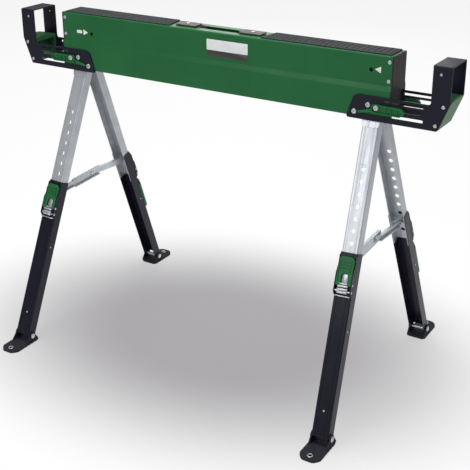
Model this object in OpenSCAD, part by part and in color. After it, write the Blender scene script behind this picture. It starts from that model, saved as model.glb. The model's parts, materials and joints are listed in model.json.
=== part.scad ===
// Folding sawhorse: a pressed steel beam on four telescoping legs that fold up into it,
// with a sliding fork at each end that holds a timber beside the beam's end.
// Frame: X along the beam, Y across it (front is -Y), Z up, floor at z = 0.
// Paired parts are drawn once, for the right end and the back side, and then mirrored.

/* [Beam] */
// Length of the beam over its end caps
beam_len = 910; // [900:2:930]
// Width of the beam's top face
beam_top_w = 70; // [69:0.5:74]
// Height of the beam's side, top to lower edge
beam_h = 140; // [138:1:146]
// Height of the beam's top above the floor with the legs at their longest
total_h = 830; // [820:2:840]
// How far the lower panel of each side stands out from the upper one
skirt_step = 4; // [4:0.25:5]
// Thickness of the beam's sheet
sheet_t = 1.6; // [1.4:0.1:1.7]

/* [Legs] */
// Angle of each leg from upright, across the beam
leg_splay = 22; // [20:0.5:22.5]
// Lean of each pair outward, along the beam
leg_tilt = 2.8; // [2:0.1:3.2]
// Width of the lower leg channel
lower_w = 42; // [41:0.25:42.5]
// Depth of the lower leg channel
lower_depth = 26.5; // [26:0.1:26.6]
// Wall of both leg channels
channel_t = 1.5; // [1.2:0.1:1.8]
// Spacing of the height holes along the leg
hole_pitch = 27.4; // [26:0.1:28]
// Number of height steps the lower leg can slide up
height_steps = 7; // [5:1:7]

/* [Feet] */
// Length of a foot's sole, heel to toe
foot_len = 96; // [92:1:102]
// Width of a foot's sole
foot_w = 52; // [50:0.5:53]

/* [Timber forks] */
// Gap between the beam's end and the fork's column
timber_gap = 90.5; // [88:0.5:92]
// Width of the column
column_w = 42; // [38:0.5:44]
// Thickness of the fork's plates
fork_t = 2.5; // [2:0.1:2.8]

/* [Carry handle] */
// Length of the hand slot in the beam's top
slot_len = 120; // [112:1:126]
// Width of the hand slot
slot_w = 26; // [22:0.5:30]

/* [Hidden] */
$fn = 32;

// Signs of the ends and sides
LEFT = -1;
RIGHT = 1;
FRONT = -1;
BACK = 1;

// Clearances
slide_gap = 0.4;   // between sliding faces
pin_gap = 0.06;    // round a turning pin, on the radius
cut = 1;           // how far a cutter runs past what it cuts

// Beam section
half_len = beam_len / 2;
beam_z = total_h - beam_h;
top_y = beam_top_w / 2;
skirt_y = top_y + skirt_step;
wall_y = skirt_y - sheet_t;
crease_top_z = total_h - 65.5;
crease_low_z = total_h - 77;
edge_r = 4;
cap_t = 3;

// Bolts
bolt_r = 3;
bolt_head_r = 6;
bolt_head_h = 3.4;

// Fork
fork_y = skirt_y + slide_gap;
fork_out_y = fork_y + fork_t;
column_x = half_len + timber_gap;
column_out_x = column_x + column_w;
fork_top_z = total_h - 4;
arm_top_z = total_h - 90;
arm_drop = 145;
arm_low_z = total_h - arm_drop;
arm_end_x = half_len - 103;
diagonal_top_z = total_h - 80;
diagonal_foot_x = column_out_x - 24.5;
slot_half = bolt_r + slide_gap;
lock_z = total_h - 113;
lock_x = half_len - 30;
slide_spots = [[half_len - 51, total_h - 110], [half_len - 83, total_h - 129]];
corner_spots = [
  [column_out_x - 14, total_h - 90],
  [column_out_x - 29, total_h - 133],
  [column_out_x - 24, total_h - 22]
];
corner_head_r = 4;
lever_y = fork_out_y + slide_gap;
lever_t = 5;
lever_rim = 2;

// Hinge of each leg pair
hinge_y = 14;
splay_z = beam_z + 3;
leg_x = half_len - 47;
pin_offset = 24.5;
pin_rise = 13;
hinge_pin_r = 5;
hinge_head_r = 7;
hinge_head_t = 2.2;
splay_pin_r = 4;
bracket_t = 2.5;
bracket_y = wall_y - bracket_t;
lug_t = 2.7;
lug_y = bracket_y - slide_gap - lug_t;
bracket_out_x = half_len - 7.5;
bracket_in_x = half_len - 93;
bracket_low_z = beam_z + 2;
bracket_top_z = crease_low_z - 1;

// Leg channels, in the leg's own frame: origin at the splay pin, leg along -Z, outer face +Y
leg_half_y = lower_depth / 2;
upper_y = leg_half_y - channel_t - 0.3;
upper_half_w = lower_w / 2 - channel_t - 0.3;
lower_half_w = lower_w / 2;
upper_inner_y = leg_half_y - 0.25;
leg_top_r = 12.8;
hole_top = 125.4;
hole_r = 5.25;
hole_count = height_steps + 3;
tube_top = 310;
upper_end = 403;
bolt_h = 21;
foot_d = (splay_z - bolt_h) / (cos(leg_splay) * cos(leg_tilt));

// Brace
brace_d = 338;
brace_rest = 3;
brace_len = (hinge_y + brace_d * sin(leg_splay)) / cos(brace_rest);
brace_pin_r = 3;
brace_half_h = 8;
brace_t = 2.2;

// Latch on the lower leg
catch_d = hole_top + (height_steps + 1) * hole_pitch;
latch_d = catch_d + 35.4;
spring_d = latch_d + 16;
latch_pin_r = 2;
catch_r = 3.5;
catch_recess = 0.5;
latch_pin_y = leg_half_y + 4.6;
cheek_h = 8.6;
cheek_len = 98;
cheek_t = 2;
latch_half_w = 18.4;
latch_len = 64;

// Storage clip on the back legs
clip_d = tube_top + cheek_len + 8;
clip_len = 116;
clip_pin_d = clip_d + clip_len - 9;
clip_pin_y = leg_half_y + 4.4;
clip_half_w = 13;
clip_pin_r = 2;

// Foot
foot_bolt_r = 4;
sole_t = 6;
heel = 24;
ear_t = 3;
ear_gap = 0.4;

// ---------- Outline helpers ----------

function unit(v) = v / norm(v);

// Points of the rounded corner at b, coming from a and going to c, with radius b[2]
function corner(a, b, c, n = 4) =
  let (
    p = [b[0], b[1]],
    u = unit([a[0], a[1]] - p),
    v = unit([c[0], c[1]] - p),
    half = acos(max(-1, min(1, u * v))) / 2,
    centre = p + unit(u + v) * b[2] / sin(half),
    s = p + u * b[2] / tan(half) - centre,
    e = p + v * b[2] / tan(half) - centre,
    a0 = atan2(s[1], s[0]),
    turn = (atan2(e[1], e[0]) - a0 + 540) % 360 - 180
  )
  [for (i = [0 : n]) centre + b[2] * [cos(a0 + turn * i / n), sin(a0 + turn * i / n)]];

// Outline from a list of [x, y, radius]: corners with a radius are rounded
function soft(list) =
  let (m = len(list))
  [for (i = [0 : m - 1])
    let (b = list[i])
    each b[2] > 0 ? corner(list[(i + m - 1) % m], b, list[(i + 1) % m]) : [[b[0], b[1]]]];

module soft_box(x0, x1, y0, y1, r) {
  polygon(soft([[x0, y0, r], [x1, y0, r], [x1, y1, r], [x0, y1, r]]));
}

module slot(x0, x1, y, r) {
  translate([x0, y - r]) square([x1 - x0, 2 * r]);
  for (x = [x0, x1]) translate([x, y]) circle(r);
}

// Extrudes a Y-Z outline along X from x0 to x1
module along_x(x0, x1) {
  translate([x0, 0, 0]) rotate([90, 0, 90]) linear_extrude(x1 - x0) children();
}

// Extrudes an X-Z outline along Y from y0 to y1
module along_y(y0, y1) {
  translate([0, y1, 0]) rotate([90, 0, 0]) linear_extrude(y1 - y0) children();
}

// Round bar along X, and along Y
module bar_x(x0, x1, y, z, r) {
  translate([x0, y, z]) rotate([0, 90, 0]) cylinder(r = r, h = x1 - x0);
}
module bar_y(x, y0, y1, z, r) {
  translate([x, y0, z]) rotate([-90, 0, 0]) cylinder(r = r, h = y1 - y0);
}

module at_end(end) {
  if (end > 0) children();
  else mirror([1, 0, 0]) children();
}
module at_side(side) {
  if (side > 0) children();
  else mirror([0, 1, 0]) children();
}
module both_sides() {
  for (side = [FRONT, BACK]) at_side(side) children();
}
module both_ends() {
  for (end = [LEFT, RIGHT]) at_end(end) children();
}

// A pan-head bolt pointing out along +Y: head outside y0, shank back to y1, with a socket
module face_bolt(x, y0, y1, z, head_r, head_h, shank_r) {
  translate([x, y0, z]) rotate([-90, 0, 0]) difference() {
    rotate_extrude() polygon(soft([
      [0, y1 - y0, 0], [shank_r, y1 - y0, 0], [shank_r, 0, 0], [head_r, 0, 0],
      [head_r, head_h, head_h * 0.6], [0, head_h, 0]
    ]));
    translate([0, 0, head_h * 0.45]) cylinder(r = head_r * 0.42, h = head_h, $fn = 6);
  }
}

// ---------- Beam ----------

// Section of the beam set in by d on the outside; the lower edge runs down to z0
module beam_section(d, z0) {
  r = max(edge_r - d, 1);
  polygon(soft([
    [skirt_y - d, z0, 0], [skirt_y - d, crease_low_z, 3], [top_y - d, crease_top_z, 3],
    [top_y - d, total_h - d, r], [d - top_y, total_h - d, r],
    [d - top_y, crease_top_z, 3], [d - skirt_y, crease_low_z, 3], [d - skirt_y, z0, 0]
  ]));
}

cap_screw_spots = [[half_len - 9, total_h - 13], [half_len - 9, total_h - 54.5]];
cap_screw_r = 2;
rope_hole_r = 4.5;
rope_holes = [[half_len - 51, total_h - 34], [93 - half_len, total_h - 47]];
handle_screw_x = slot_len / 2 + 30;

module beam_shell() {
  color("darkgreen") difference() {
    along_x(cap_t - half_len, half_len - cap_t) difference() {
      beam_section(0, beam_z);
      beam_section(sheet_t, beam_z - cut);
    }
    // Hand slot in the top
    translate([0, 0, total_h - edge_r - cut]) linear_extrude(edge_r + 2 * cut)
      soft_box(-slot_len / 2, slot_len / 2, -slot_w / 2, slot_w / 2, 6);
    // Handle screws
    for (end = [LEFT, RIGHT]) translate([end * handle_screw_x, 0, total_h - edge_r - cut])
      cylinder(r = 2.5, h = edge_r + 2 * cut);
    // Cap screws, then the bolts that carry the forks and levers
    both_ends() both_sides() {
      for (s = cap_screw_spots) bar_y(s[0], top_y - edge_r, top_y + cut, s[1], cap_screw_r);
      for (s = slide_spots) bar_y(s[0], wall_y - cut, skirt_y + cut, s[1], bolt_r);
      bar_y(lock_x, wall_y - cut, skirt_y + cut, lock_z, bolt_r);
    }
    // One small hole near each end of the front face
    for (h = rope_holes) bar_y(h[0], -top_y - cut, cut - top_y + sheet_t, h[1], rope_hole_r);
  }
}

// Outline of the upper panel's inside, set in by d, open below z0
module cap_skirt(d, z0) {
  polygon(soft([
    [top_y - d, z0, 0], [top_y - d, total_h - d, 2], [d - top_y, total_h - d, 2], [d - top_y, z0, 0]
  ]));
}

// Plastic plug in the beam's end: a flange over the section and a hollow skirt inside it
module end_cap() {
  color("#3a2c2a") difference() {
    union() {
      along_x(half_len - cap_t, half_len) difference() {
        beam_section(0, beam_z + 6);
        translate([-wall_y + 5, beam_z]) square([2 * wall_y - 10, bracket_top_z - beam_z - 6]);
      }
      along_x(half_len - 18, half_len - cap_t + 0.5) difference() {
        cap_skirt(sheet_t, crease_top_z + 2);
        cap_skirt(sheet_t + 2.2, crease_top_z);
      }
    }
    both_sides() for (s = cap_screw_spots)
      bar_y(s[0], top_y - edge_r - cut, top_y, s[1], cap_screw_r);
  }
}
module end_cap_left() { at_end(LEFT) end_cap(); }
module end_cap_right() { end_cap(); }

// Small round-headed screws of the caps
module cap_screws() {
  color("silver") both_ends() both_sides() for (s = cap_screw_spots)
    face_bolt(s[0], top_y, top_y - edge_r, s[1], 4.2, 2, cap_screw_r);
}

pad_t = 2.4;
pad_y = top_y - 4.5;
pad_in_x = slot_len / 2 + 66;
pad_out_x = half_len - 8;
pad_rib_pitch = 13;

// Ribbed rubber pad let onto the beam's top, with a slanted inner end
module grip_pad() {
  color("#262628") difference() {
    translate([0, 0, total_h]) linear_extrude(pad_t) polygon(soft([
      [pad_in_x, -pad_y, 2], [pad_out_x, -pad_y, 2], [pad_out_x, pad_y, 2], [pad_in_x + 9, pad_y, 2]
    ]));
    for (x = [pad_in_x + 16 : pad_rib_pitch : pad_out_x - 6])
      translate([x, 0, total_h + pad_t]) cube([2.4, 2 * pad_y - 12, 1.2], center = true);
  }
}
module grip_pad_left() { mirror([1, 0, 0]) grip_pad(); }
module grip_pad_right() { grip_pad(); }

strap_t = 3;
strap_sink = 13;
plate_t = 2.5;
tab_t = 1.5;
tab_out_x = slot_len / 2 + 56;
strap_in_x = slot_len / 2 - 4;

// Moulded strap: a grip sunk in the slot, rising at each end to a tab on the beam's top
module carry_strap() {
  color("#4a3a32") difference() {
    along_y(-slot_w / 2 + 2, slot_w / 2 - 2) polygon(soft([
      [-tab_out_x, total_h, 0], [-strap_in_x, total_h, 0],
      [-strap_in_x + 12, total_h - strap_sink, 4], [strap_in_x - 12, total_h - strap_sink, 4],
      [strap_in_x, total_h, 0], [tab_out_x, total_h, 0],
      [tab_out_x, total_h + tab_t, 0], [strap_in_x - 3, total_h + tab_t, 1],
      [strap_in_x - 14, total_h - strap_sink + strap_t + 4, 4],
      [14 - strap_in_x, total_h - strap_sink + strap_t + 4, 4],
      [3 - strap_in_x, total_h + tab_t, 1], [-tab_out_x, total_h + tab_t, 0]
    ]));
    for (end = [LEFT, RIGHT]) translate([end * handle_screw_x, 0, total_h - cut])
      cylinder(r = 2.5, h = tab_t + 2 * cut);
  }
}

// Clamp plate over each tab
module handle_plates() {
  color("#6b5e56") for (end = [LEFT, RIGHT]) at_end(end) difference() {
    translate([0, 0, total_h + tab_t]) linear_extrude(plate_t)
      soft_box(slot_len / 2, tab_out_x + 2, -slot_w / 2 - 4, slot_w / 2 + 4, 4);
    translate([handle_screw_x, 0, total_h]) cylinder(r = 2.5, h = 3 * plate_t);
  }
}

module handle_screws() {
  color("silver") both_ends() translate([handle_screw_x, 0, total_h + tab_t + plate_t]) difference() {
    rotate_extrude() polygon(soft([
      [0, -plate_t - tab_t - 6, 0], [2.5, -plate_t - tab_t - 6, 0], [2.5, 0, 0],
      [5, 0, 0], [5, 1.8, 1.4], [0, 1.8, 0]
    ]));
    translate([0, 0, 0.7]) cylinder(r = 2, h = 3, $fn = 6);
  }
}

// Bolts that the fork's arms slide on, screwed through the beam into the hinge brackets
module slide_bolts() {
  color("gainsboro") both_ends() both_sides() for (s = slide_spots)
    face_bolt(s[0], fork_out_y + 0.3, bracket_y, s[1], bolt_head_r, bolt_head_h, bolt_r);
}

// Bolts that the lock levers turn on
module lever_bolts() {
  color("gainsboro") both_ends() both_sides()
    face_bolt(lock_x, lever_y + lever_t + 0.3, bracket_y, lock_z, bolt_head_r, 2.6, bolt_r);
}

// ---------- Hinges inside the beam ----------

// Fold pin of an end, in the pair's frame and then in the beam's
function fold_offset(end) = end > 0 ? pin_offset : -pin_offset;
function fold_x(end) = leg_x + fold_offset(end) * cos(leg_tilt) - pin_rise * sin(leg_tilt);
function fold_z(end) = splay_z + fold_offset(end) * sin(leg_tilt) + pin_rise * cos(leg_tilt);

// Two plates on the inside of the skirt, joined by a cross plate behind the end cap
module hinge_bracket(end) {
  color("dimgray") difference() {
    union() {
      both_sides() along_y(bracket_y, wall_y) polygon(soft([
        [bracket_in_x, bracket_low_z, 6], [bracket_out_x, bracket_low_z, 0],
        [bracket_out_x, bracket_top_z, 0], [bracket_in_x, bracket_top_z, 6]
      ]));
      along_x(bracket_out_x - bracket_t, bracket_out_x)
        translate([-wall_y, bracket_low_z + 6])
          square([2 * wall_y, bracket_top_z - bracket_low_z - 6]);
    }
    both_sides() {
      for (s = slide_spots) bar_y(s[0], bracket_y - cut, wall_y + cut, s[1], bolt_r);
      bar_y(lock_x, bracket_y - cut, wall_y + cut, lock_z, bolt_r);
      bar_y(fold_x(end), bracket_y - cut, wall_y + cut, fold_z(end), hinge_pin_r + pin_gap);
    }
  }
}
module hinge_bracket_left() { at_end(LEFT) hinge_bracket(LEFT); }
module hinge_bracket_right() { hinge_bracket(RIGHT); }

// Headed stub pins that the pair folds on, one each side
module hinge_pins(end) {
  color("silver") both_sides() {
    bar_y(fold_x(end), lug_y - hinge_head_t, wall_y - 0.1, fold_z(end), hinge_pin_r);
    bar_y(fold_x(end), lug_y - hinge_head_t, lug_y - 0.3, fold_z(end), hinge_head_r);
  }
}
module hinge_pins_left() { at_end(LEFT) hinge_pins(LEFT); }
module hinge_pins_right() { hinge_pins(RIGHT); }

// ---------- Timber forks ----------

// Outline of one fork plate: arm, column and the slanted corner, with the arm's slots
module fork_outline() {
  difference() {
    polygon(soft([
      [arm_end_x, arm_low_z, 4], [diagonal_foot_x, arm_low_z, 4],
      [column_out_x, diagonal_top_z, 4], [column_out_x, fork_top_z, 0],
      [column_x, fork_top_z, 0], [column_x, arm_top_z, 6],
      [arm_end_x + 26, arm_top_z, 3], [arm_end_x + 20, arm_top_z - 4.5, 3],
      [arm_end_x + 16, arm_top_z - 4.5, 5]
    ]));
    slot(slide_spots[1][0] - 2, column_x - 18, slide_spots[1][1], slot_half);
    slot(slide_spots[0][0] - 2, column_x - 24, (slide_spots[0][1] + lock_z) / 2,
      slot_half + (slide_spots[0][1] - lock_z) / 2);
    slot(half_len - 15, column_x - 18, arm_top_z - 8.6, slot_half - 0.6);
  }
}

// Front and back plates folded over the top of the column from one sheet
module support_fork() {
  color("#1b1b20") difference() {
    union() {
      both_sides() along_y(fork_y, fork_out_y) fork_outline();
      along_x(column_x, column_out_x) difference() {
        soft_top(fork_out_y, fork_top_z, 3);
        soft_top(fork_y, fork_top_z - fork_t, 1);
      }
    }
    // The folded corners are rounded off
    along_x(column_x - cut, column_out_x + cut) difference() {
      translate([-fork_out_y - cut, fork_top_z - 3]) square([2 * fork_out_y + 2 * cut, 3 + cut]);
      soft_top(fork_out_y, fork_top_z, 3);
    }
    both_sides() for (s = corner_spots)
      bar_y(s[0], fork_y - cut, fork_out_y + cut, s[1], bolt_r - 1);
  }
}
// Inverted-U outline of half width y and top z
module soft_top(y, z, r) {
  polygon(soft([[-y, z - 8, 0], [y, z - 8, 0], [y, z, r], [-y, z, r]]));
}
module support_fork_left() { at_end(LEFT) support_fork(); }
module support_fork_right() { support_fork(); }

block_drop = 81;
block_top_z = total_h - block_drop;
block_rise = 6;
block_arch_r = 131;
block_flank = 34;
block_proud = 1.4;

// Plastic block between the plates at the lower outer corner, with an arched top
module corner_block() {
  color("#1f6b38") difference() {
    intersection() {
      along_y(-fork_y, fork_y) polygon(soft([
        [column_x + 3, block_top_z + 8, 0], [column_x + 3, arm_low_z + block_flank, 0],
        [column_x + 12, arm_low_z + 1, 2], [diagonal_foot_x + 1, arm_low_z + 1, 3],
        [column_out_x + block_proud, diagonal_top_z, 4], [column_out_x + block_proud, block_top_z + 8, 0]
      ]));
      along_x(column_x, column_out_x + 4) union() {
        translate([-fork_y, arm_low_z]) square([2 * fork_y, block_top_z - arm_low_z]);
        intersection() {
          translate([0, block_top_z + block_rise - block_arch_r]) circle(block_arch_r, $fn = 96);
          translate([-fork_y, block_top_z - 1]) square([2 * fork_y, block_rise + 4]);
        }
      }
    }
    // Hollow on the inner side
    along_y(-fork_y + 8, fork_y - 8) polygon([
      [column_x, block_top_z - 8], [column_x + 26, block_top_z - 8],
      [column_x + 14, arm_low_z + 24], [column_x, arm_low_z + 24]
    ]);
    both_sides() for (i = [0, 1])
      bar_y(corner_spots[i][0], fork_y - 6, fork_y + cut, corner_spots[i][1], bolt_r - 1);
  }
}
module corner_block_left() { at_end(LEFT) corner_block(); }
module corner_block_right() { corner_block(); }

// Screws of the block, and a rivet near the column's top
module corner_bolts() {
  color("gainsboro") both_sides() for (i = [0 : 2])
    face_bolt(corner_spots[i][0], fork_out_y, i < 2 ? fork_y - 6 : fork_y, corner_spots[i][1],
      i < 2 ? corner_head_r : 2.8, i < 2 ? 2.4 : 1.2, bolt_r - 1);
}
module corner_bolts_left() { at_end(LEFT) corner_bolts(); }
module corner_bolts_right() { corner_bolts(); }

lock_len = 67;
lock_in = 11.5;
lock_up = 7;
lock_down = 13;

// Outline of a lock lever set in by d
module lock_outline(d) {
  polygon(soft([
    [lock_x - lock_in + d, lock_z - lock_down + 1 + d, 6],
    [lock_x + lock_len - 12, lock_z - lock_down + d, 5], [lock_x + lock_len - d, lock_z - 5, 4],
    [lock_x + lock_len - 8, lock_z + lock_up - 2 - d, 5], [lock_x - lock_in + d, lock_z + lock_up - d, 6]
  ]));
}

// Green lever that clamps the arm: a rimmed body, ribs, a round boss and a thin tail
module lock_lever() {
  color("#23753c") difference() {
    union() {
      along_y(lever_y, lever_y + 3) lock_outline(0);
      along_y(lever_y, lever_y + lever_t + lever_rim) difference() {
        lock_outline(0);
        lock_outline(2.4);
      }
      for (i = [0 : 2]) along_y(lever_y, lever_y + lever_t)
        translate([lock_x + 20 + 13 * i, lock_z - lock_down + 1])
          square([3, lock_up + lock_down - 4]);
      bar_y(lock_x, lever_y, lever_y + lever_t, lock_z, 7.6);
      along_y(lever_y, lever_y + 2.4) polygon(soft([
        [lock_x - 6, lock_z - 2, 0], [lock_x - 44, lock_z - 13, 2],
        [lock_x - 43, lock_z - 18, 2], [lock_x - 4, lock_z - 10, 0]
      ]));
    }
    bar_y(lock_x, lever_y - cut, lever_y + 2 * lever_t, lock_z, bolt_r + pin_gap);
    // Room for the bolt's head inside the rim
    bar_y(lock_x, lever_y + lever_t, lever_y + 2 * lever_t, lock_z, bolt_head_r + 0.6);
  }
}
module lock_lever_left_front() { at_end(LEFT) at_side(FRONT) lock_lever(); }
module lock_lever_left_back() { at_end(LEFT) lock_lever(); }
module lock_lever_right_front() { at_side(FRONT) lock_lever(); }
module lock_lever_right_back() { lock_lever(); }

// ---------- Leg frames ----------

// Frame of a pair at its splay pins: leaning outward, legs along -Z
module pair_frame() {
  translate([leg_x, 0, splay_z]) rotate([0, -leg_tilt, 0]) children();
}

// Frame of one leg: origin at its splay pin, leg along -Z, outer face +Y
module leg_frame(end, side) {
  at_end(end) at_side(side) pair_frame()
    translate([0, hinge_y, 0]) rotate([leg_splay, 0, 0]) children();
}

carrier_in = upper_half_w + 0.5;
carrier_t = 2.6;
carrier_y = lug_y + lug_t;
carrier_low = -9;
carrier_high = leg_top_r + 1;

// Cradle that holds both splay pins and turns on the fold pins
module leg_carrier(end) {
  a = fold_offset(end);
  x0 = min(a, -carrier_in - carrier_t);
  x1 = max(a, carrier_in + carrier_t);
  color("#4d4f52") difference() {
    union() {
      for (m = [0, 1]) mirror([m, 0, 0]) along_x(carrier_in, carrier_in + carrier_t)
        polygon(soft([
          [-hinge_y - 9, carrier_low, 5], [hinge_y + 9, carrier_low, 5],
          [carrier_y, 4, 2], [carrier_y, carrier_high + carrier_t, 0],
          [-carrier_y, carrier_high + carrier_t, 0], [-carrier_y, 4, 2]
        ]));
      translate([-carrier_in - carrier_t, -carrier_y, carrier_high])
        cube([2 * (carrier_in + carrier_t), 2 * carrier_y, carrier_t]);
      both_sides() {
        along_y(lug_y, carrier_y) translate([x0, 4]) square([x1 - x0, carrier_high + carrier_t - 4]);
        bar_y(a, lug_y, carrier_y, pin_rise, hinge_pin_r + 5);
      }
    }
    both_sides() {
      bar_x(-carrier_in - carrier_t - cut, carrier_in + carrier_t + cut, hinge_y, 0, splay_pin_r);
      bar_y(a, lug_y - cut, carrier_y + cut, pin_rise, hinge_pin_r + pin_gap);
      // Room for the fold pin's head
      bar_y(a, lug_y - hinge_head_t - 0.8, lug_y, pin_rise, hinge_head_r + 0.4);
    }
  }
}
module leg_carrier_left() { at_end(LEFT) pair_frame() leg_carrier(LEFT); }
module leg_carrier_right() { pair_frame() leg_carrier(RIGHT); }

// The two long pins that the legs of a pair splay on
module splay_pins() {
  reach = carrier_in + carrier_t + 1.2;
  color("silver") pair_frame() both_sides() bar_x(-reach, reach, hinge_y, 0, splay_pin_r);
}
module splay_pins_left() { at_end(LEFT) splay_pins(); }
module splay_pins_right() { splay_pins(); }

// ---------- Legs ----------

// Channel open to the inside, in X-Y, with two shallow grooves along its outer web
module channel(half_w, inner_y, outer_y, t, groove_x) {
  difference() {
    polygon(soft([
      [-half_w, -inner_y, 0], [half_w, -inner_y, 0], [half_w, outer_y, 2.2], [-half_w, outer_y, 2.2]
    ]));
    polygon(soft([
      [t - half_w, -inner_y - cut, 0], [half_w - t, -inner_y - cut, 0],
      [half_w - t, outer_y - t, 1], [t - half_w, outer_y - t, 1]
    ]));
    for (m = [-1, 1]) translate([m * groove_x - 1.8, outer_y - 0.6]) square([3.6, 2]);
  }
}

// Bright upper channel with its row of height holes, brace pin and top collar
module upper_leg(end, side) {
  color("#c9ced2") leg_frame(end, side) difference() {
    union() {
      translate([0, 0, -upper_end]) linear_extrude(upper_end)
        channel(upper_half_w, upper_inner_y, upper_y, channel_t, 11);
      // Rounded head of the side webs, round the splay pin
      for (m = [0, 1]) mirror([m, 0, 0]) intersection() {
        bar_x(upper_half_w - channel_t, upper_half_w, 0, 0, leg_top_r);
        translate([0, -2 * leg_top_r, -cut])
          cube([lower_w, 2 * leg_top_r + upper_y, 3 * leg_top_r]);
      }
      // Collar over the outer face
      along_y(upper_y, upper_y + 1.6) polygon(soft([
        [-upper_half_w + 1, -2, 2], [upper_half_w - 1, -2, 2], [upper_half_w - 1, -12, 0],
        [upper_half_w + 2.4, -14, 1], [upper_half_w + 0.8, -32, 5],
        [-upper_half_w - 0.8, -32, 5], [-upper_half_w - 2.4, -14, 1], [-upper_half_w + 1, -12, 0]
      ]));
      // Brace pin across the channel
      bar_x(-upper_half_w + channel_t, upper_half_w - channel_t, 0, -brace_d, brace_pin_r);
    }
    bar_x(-lower_w, lower_w, 0, 0, splay_pin_r + pin_gap);
    for (i = [0 : hole_count - 1])
      bar_y(0, upper_y - channel_t - cut, upper_y + 3, -hole_top - i * hole_pitch, hole_r);
    // Sunk track that the catch runs in between the holes
    translate([-11, upper_y - catch_recess, -upper_end - cut])
      cube([22, 2, upper_end - hole_top + 12]);
  }
}
module upper_leg_left_front() { upper_leg(LEFT, FRONT); }
module upper_leg_left_back() { upper_leg(LEFT, BACK); }
module upper_leg_right_front() { upper_leg(RIGHT, FRONT); }
module upper_leg_right_back() { upper_leg(RIGHT, BACK); }

// Cheek of the latch housing in Y-Z: low beside the lever's grip, full height at the pins
module cheek_outline() {
  polygon(soft([
    [leg_half_y - 0.5, -tube_top - 4, 0], [leg_half_y + 2.4, -tube_top - 6, 1.5],
    [leg_half_y + 3.4, -tube_top - 30, 6], [leg_half_y + cheek_h, -tube_top - 46, 4],
    [leg_half_y + cheek_h, -tube_top - cheek_len + 9, 4],
    [leg_half_y, -tube_top - cheek_len, 0], [leg_half_y - 0.5, -tube_top - cheek_len, 0]
  ]));
}

// Black lower channel with the latch housing and, on the back legs, the storage clip's base
module lower_leg(end, side) {
  color("#17171b") leg_frame(end, side) difference() {
    union() {
      translate([0, 0, -foot_d]) linear_extrude(foot_d - tube_top)
        channel(lower_half_w, leg_half_y, leg_half_y, channel_t, 12);
      // Rounded foot end of the side webs
      for (m = [0, 1]) mirror([m, 0, 0]) intersection() {
        bar_x(lower_half_w - channel_t, lower_half_w, 0, -foot_d, leg_half_y);
        translate([0, -lower_w, -foot_d - lower_w]) cube([lower_w, 2 * lower_w, lower_w + cut]);
      }
      for (m = [0, 1]) mirror([m, 0, 0])
        along_x(lower_half_w - cheek_t, lower_half_w) cheek_outline();
      if (side == BACK) for (m = [0, 1]) mirror([m, 0, 0]) along_x(clip_half_w + 0.5, clip_half_w + 2.5)
        polygon(soft([
          [leg_half_y - 0.5, -clip_pin_d + 16, 0], [leg_half_y + 7, -clip_pin_d + 6, 4],
          [leg_half_y + 7, -clip_pin_d - 5, 4], [leg_half_y - 0.5, -clip_pin_d - 11, 0]
        ]));
      if (side == BACK)
        bar_x(-clip_half_w - 2, clip_half_w + 2, clip_pin_y, -clip_pin_d, clip_pin_r - pin_gap);
    }
    // Slot for the latch's catch, latch and spring pins, foot bolt
    along_y(leg_half_y - channel_t - cut, leg_half_y + cut)
      translate([0, -catch_d]) rotate(90) slot(-2, 2, 0, 5);
    for (d = [latch_d, spring_d]) bar_x(-lower_w, lower_w, latch_pin_y, -d, latch_pin_r);
    bar_x(-lower_w, lower_w, 0, -foot_d, foot_bolt_r);
  }
}
module lower_leg_left_front() { lower_leg(LEFT, FRONT); }
module lower_leg_left_back() { lower_leg(LEFT, BACK); }
module lower_leg_right_front() { lower_leg(RIGHT, FRONT); }
module lower_leg_right_back() { lower_leg(RIGHT, BACK); }

// Green latch lever: a rimmed shell with raised ribs, an arched opening over two side legs,
// and the catch that passes through the lower channel into a height hole
module latch_lever(end, side) {
  top = tube_top + 9;
  face = leg_half_y + 2.6;
  color("#23753c") leg_frame(end, side) difference() {
    union() {
      translate([0, face, 0]) rotate([-90, 0, 0]) linear_extrude(3.4) difference() {
        polygon(soft([
          [-latch_half_w, top + 6, 4], [-latch_half_w + 6, top, 4], [latch_half_w - 6, top, 4],
          [latch_half_w, top + 6, 4], [latch_half_w, top + latch_len, 2],
          [-latch_half_w, top + latch_len, 2]
        ]));
        polygon(soft([
          [-8.5, top + latch_len + cut, 0], [-8.5, top + 37, 8], [8.5, top + 37, 8],
          [8.5, top + latch_len + cut, 0]
        ]));
      }
      for (i = [0 : 3]) translate([-13, face, -top - 10 - 7 * i]) cube([26, 5.4, 2.6]);
      for (m = [-1, 1]) translate([m * (latch_half_w - 1.2) - 1.2, face, -top - latch_len + 2])
        cube([2.4, 5.6, latch_len - 12]);
      // Lugs on the pin, and the catch
      for (m = [0, 1]) mirror([m, 0, 0])
        bar_x(9.5, latch_half_w, latch_pin_y, -latch_d, latch_pin_r + 2);
      bar_y(0, upper_y - catch_recess + slide_gap, face + 1, -catch_d, catch_r);
    }
    bar_x(-lower_w, lower_w, latch_pin_y, -latch_d, latch_pin_r + pin_gap);
  }
}
module latch_lever_left_front() { latch_lever(LEFT, FRONT); }
module latch_lever_left_back() { latch_lever(LEFT, BACK); }
module latch_lever_right_front() { latch_lever(RIGHT, FRONT); }
module latch_lever_right_back() { latch_lever(RIGHT, BACK); }

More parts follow.
